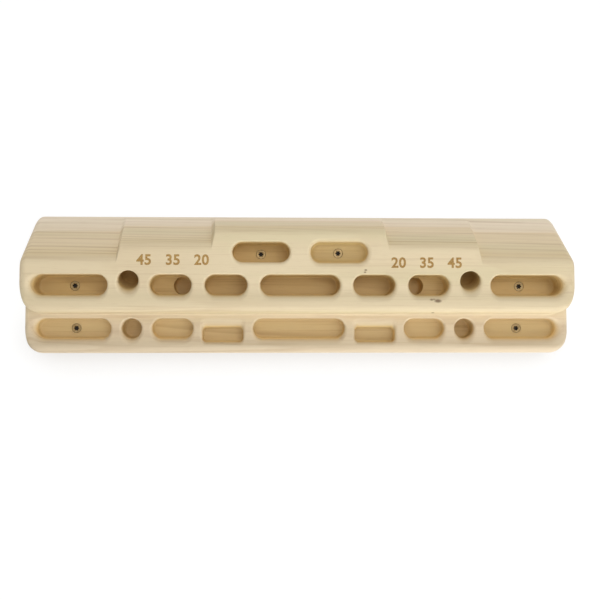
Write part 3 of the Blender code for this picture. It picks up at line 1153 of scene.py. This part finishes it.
@dataclass(frozen=True)
class Board:
    """The milled board: the block, its rows of holds and its screw holes."""

    block: Block = Block()
    cutter: Cutter = Cutter()
    middle: Row = Row(
        "middle", 0.0715, 0.058, 0.083, 0.025,
        (
            ("three", 0.0135, 0.0439, {}),
            ("two", 0.0137, 0.0429, {"depth": 0.022}),
            ("mono", 0.0115, 0.0210,
             {"depth": 0.030, "lift": 0.0035, "climb": math.radians(20), "floor_round": 0.007}),
            ("outer", 0.0108, 0.0, {}),
        ),
        0.0145, 0.025,
    )
    lower: Row = Row(
        "lower", 0.0265, 0.035, 0.098, 0.014,
        (
            ("three", 0.0105, 0.0435,
             {"top": 0.0110, "bottom": 0.0040, "radius": 0.0077, "corner": 0.0045, "lift": -0.0070,
              "brow": True}),
            ("two", 0.0097, 0.0435, {}),
            ("mono", 0.0110, 0.0210, {"depth": 0.019}),
            ("outer", 0.0111, 0.0, {}),
        ),
        0.0120, 0.014, {"bottom": 0.0075}, 0.0085,
    )
    inner_mono: Hold = Hold(
        "inner_mono", 0.0, 0.0715, 0.0196, 0.036, 0.014, 0.0006, 0.0006, 0.0006, 0.0006, 0.0098, 0.0098
    )
    upper_z: float = 0.1055
    upper_length: float = 0.0595
    upper_web: float = 0.0218
    upper_depth: float = 0.025
    dish_depth: float = 0.014
    dish_lip: float = 0.0045
    dish_round: float = 0.007
    screw: WoodScrew = WoodScrew()
    screw_from_end: float = 0.039
    sharp_angle: float = math.radians(32)

    def holds(self) -> list[Hold]:
        """Every hold of the board, with z measured from its lower edge.

        Returns:
            The holds, row by row.
        """
        half = self.block.width / 2
        middle = self.middle.holds(half)
        inner = [
            replace(self.inner_mono, name=hold.name + "_inner",
                    x=hold.x - math.copysign(hold.length / 2 - hold.radius, hold.x))
            for hold in middle if "two" in hold.name
        ]
        lip = self.dish_lip
        x = (self.upper_web + self.upper_length) / 2
        size = (self.upper_z, self.upper_length, self.block.depth)
        upper = [
            Hold("upper_left", -x, *size, self.upper_depth, bottom=lip),
            Hold("upper_right", x, *size, self.dish_depth, lip, left=lip, right=lip,
                 floor_round=self.dish_round),
        ]
        return middle + inner + self.lower.holds(half) + upper

    def screw_places(self) -> dict[str, Vector]:
        """Where each screw's head meets the floor of its hold.

        Returns:
            Points by the screw's name.
        """
        holds = {hold.name: hold for hold in self.holds()}
        places = {}
        for name, home in (("upper", "middle_outer"), ("centre", "upper"), ("lower", "lower_outer")):
            for side in Side:
                hold = holds[f"{home}_{side.word}"]
                x = hold.x
                if name != "centre":
                    x += math.copysign(hold.length / 2 - self.screw_from_end, hold.x)
                z = hold.z - self.block.height / 2
                places[f"{name}_{side.word}"] = Vector((x, hold.depth - hold.face, z))
        return places

    def build(self, finish: Material) -> Object:
        """Mills the holds from the block.

        Args:
            finish: the wood.

        Returns:
            The finished piece.
        """
        block = self.block.mesh()
        board = place_object("milled_board", block.copy())
        tools = bpy.data.collections.new("milling")
        tree = self.cutter.tree()
        for hold in self.holds():
            cutter = grow(f"cut_{hold.name}", tree.tree, {**vars(hold), "Material": finish})
            cutter.data.transform(Matrix.Translation((hold.x, -hold.face, hold.z - self.block.height / 2)))
            tools.objects.link(cutter)
        for place in self.screw_places().values():
            tools.objects.link(place_object("cut_screw_hole", self.screw.hole(place)))
        milling = board.modifiers.new("milling", "BOOLEAN")
        milling.operation = "DIFFERENCE"
        milling.solver = "EXACT"
        milling.operand_type = "COLLECTION"
        milling.collection = tools
        settle(board)
        for cutter in list(tools.objects):
            bpy.data.objects.remove(cutter, do_unlink=True)
        bpy.data.collections.remove(tools)
        board.data.shade_smooth()
        board.data.set_sharp_from_angle(angle=self.sharp_angle)
        board.modifiers.new("even_faces", "WEIGHTED_NORMAL").keep_sharp = True
        settle(board)
        mark_depth(board.data, block)
        board.data.materials.clear()
        board.data.materials.append(finish)
        declare(board, "pale_wood", "board")
        return board


# The marks

@dataclass(frozen=True)
class AngleMarks:
    """The slopers' angles, browned into the front face below the middle slopers."""

    text: str
    side: Side
    middle: Span
    height: float = 0.0104
    cap_share: float = 0.7
    spacing: float = 1.06
    boldness: float = 0.00042
    sink: float = 0.00010
    proud: float = 0.00004
    face: float = 0.058

    def build(self, finish: Material) -> Object:
        """Makes the figures as one thin piece.

        Args:
            finish: the burnt wood.

        Returns:
            The finished piece.
        """
        curve = bpy.data.curves.new("figures", "FONT")
        curve.body = self.text
        curve.size = self.height / self.cap_share
        curve.align_x = "CENTER"
        curve.align_y = "CENTER"
        curve.space_character = self.spacing
        curve.offset = self.boldness
        curve.extrude = (self.sink + self.proud) / 2
        curve.resolution_u = 4
        holder = place_object("figures", curve)
        mesh = plain_mesh(holder)
        bpy.data.objects.remove(holder, do_unlink=True)
        mesh.transform(Matrix.Rotation(QUARTER, 4, "X"))
        x, z = self.middle
        mesh.transform(Matrix.Translation((x, -self.face + (self.sink - self.proud) / 2, z)))
        mesh.materials.clear()
        mesh.materials.append(finish)
        marks = place_object(f"angle_marks_{self.side.word}", mesh)
        declare(marks, "pale_wood")
        return marks


def declare(piece: Object, slot: str, *nodes: str) -> None:
    """Attaches a piece to the body that carries it, hides the nodes that it stands for and logs it.

    Args:
        piece: the finished piece.
        slot: not used.
        nodes: the nodes that it replaces, if any.
    """
    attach(piece, BODY)
    if nodes:
        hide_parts(*nodes)
    purpose = ", ".join(nodes) or "looks"
    LOG.info("%s: %d faces, on %s, for %s", piece.name, len(piece.data.polygons), BODY, purpose)


# The studio

def sheet(name: str, points: list[Place], faces: list[tuple[int, ...]], paper: StudioPaper) -> Object:
    """A flat piece of the studio.

    Args:
        name: its name.
        points: its corners.
        faces: its faces, as numbers of corners.
        paper: its finish.

    Returns:
        The piece.
    """
    mesh = bpy.data.meshes.new(name)
    mesh.from_pydata(points, [], faces)
    mesh.materials.append(paper.material())
    return place_object(name, mesh)


@dataclass(frozen=True)
class Softbox:
    """A large, even lamp aimed at the board."""

    name: str
    place: Place
    size: Span
    watts: float

    def build(self) -> None:
        """Hangs the lamp."""
        lamp = bpy.data.lights.new(self.name, "AREA")
        lamp.shape = "RECTANGLE"
        lamp.size, lamp.size_y = self.size
        lamp.energy = self.watts
        holder = place_object(self.name, lamp)
        holder.location = self.place
        holder.rotation_euler = (-Vector(self.place)).to_track_quat("-Z", "Y").to_euler()


@dataclass(frozen=True)
class Studio:
    """A white wall that carries the board, a pale floor, soft light and the camera."""

    ambient: float = 0.515
    ambient_lean: Span = (0.15, 0.75)
    side_fall: float = 0.60
    floor_height: float = -0.60
    floor_glow: float = 0.62
    reach: float = 3.0
    wall_gap: float = -0.0005
    back_margin: float = 0.006
    softboxes: tuple[Softbox, ...] = (
        Softbox("low_softbox", (0.22, -0.34, -0.56), (1.20, 0.34), 3.8),
        Softbox("front_softbox", (0.42, -1.46, 0.42), (1.00, 0.60), 4.55),
    )
    eye: Place = (-0.04572, -0.7243, -0.04514)
    yaw: float = math.radians(1.539)
    pitch: float = math.radians(2.216)
    lens: float = 38.857
    sensor: float = 36.0
    shift_x: float = 0.044

    def wall(self, block: Block) -> Object:
        """The wall, open behind the board so that its back can be seen.

        Args:
            block: the block, whose back stays open.

        Returns:
            The wall.
        """
        half, high = block.width / 2 - self.back_margin, block.height / 2 - self.back_margin
        low = -high
        cut = block.foot_corner
        side = low + cut
        foot = half - cut
        hole = [(-half, side), (-half, high), (half, high), (half, side), (foot, low), (-foot, low)]
        far, floor = self.reach, self.floor_height
        outer = [(-far, 0.0), (-far, far), (far, far), (far, 0.0), (far, floor), (-far, floor)]
        points = [(x, self.wall_gap, z) for x, z in hole + outer]
        count = len(hole)
        ahead = [*range(1, count), 0]
        faces = [(i, j, j + count, i + count) for i, j in enumerate(ahead)]
        return sheet("wall", points, faces, StudioPaper("wall_paper", clear_from_behind=True))

    def floor(self) -> Object:
        """The floor, on both sides of the wall.

        Returns:
            The floor.
        """
        far, height = self.reach, self.floor_height
        points = [(-far, -far, height), (far, -far, height), (far, far, height), (-far, far, height)]
        return sheet("floor", points, [(0, 1, 2, 3)], StudioPaper("floor_paper", glow=self.floor_glow))

    def world(self) -> None:
        """White light, stronger from above, and plain white where the camera, gloss or glass sees the sky."""
        world = bpy.data.worlds.new("studio")
        world.use_nodes = True
        tree = world.node_tree
        background = tree.nodes["Background"].inputs
        feed(background["Color"], (1.0, 1.0, 1.0))
        across, _, up = axes(take(tree, "ShaderNodeTexCoord", output="Generated"))
        lean = across * self.ambient_lean[0] + up * self.ambient_lean[1] - across * across * self.side_fall
        feed(background["Strength"], seen_directly(tree).choose((lean + 1.0) * self.ambient, 1.0))
        bpy.context.scene.world = world

    def camera(self) -> None:
        """Sets the camera where the photograph was taken from."""
        level = math.cos(self.pitch)
        forward = Vector((math.sin(self.yaw) * level, math.cos(self.yaw) * level, math.sin(self.pitch)))
        right = Vector((math.cos(self.yaw), -math.sin(self.yaw), 0.0))
        lens = bpy.data.cameras.new("camera")
        lens.sensor_width = self.sensor
        lens.lens = self.lens
        lens.shift_x = self.shift_x
        lens.clip_start = 0.01
        eye = place_object("camera", lens)
        turned = Matrix((right, right.cross(forward), -forward)).transposed().to_4x4()
        eye.matrix_world = Matrix.Translation(self.eye) @ turned
        bpy.context.scene.camera = eye

    def build(self, block: Block) -> None:
        """Sets up the studio.

        Args:
            block: what hangs on the wall.
        """
        self.wall(block)
        self.floor()
        for softbox in self.softboxes:
            softbox.build()
        self.world()
        self.camera()
        bpy.context.scene.view_settings.view_transform = "Standard"


def main() -> None:
    logging.basicConfig(level=logging.INFO, format="%(name)s: %(message)s")
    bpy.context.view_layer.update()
    board = Board()
    Studio().build(board.block)
    grain = TimberGrain().group()
    board.build(PaleWood().material(grain))
    burnt = BurntWood().material(grain)
    AngleMarks("45   35   20", Side.LEFT, (-0.1315, 0.0215)).build(burnt)
    AngleMarks("20   35   45", Side.RIGHT, (0.1315, 0.0190)).build(burnt)
    screw = board.screw
    thread = screw.thread()
    zinc = YellowZinc().material()
    for name, place in board.screw_places().items():
        screw.build(name, place, thread, zinc)


if __name__ == "__main__":
    main()
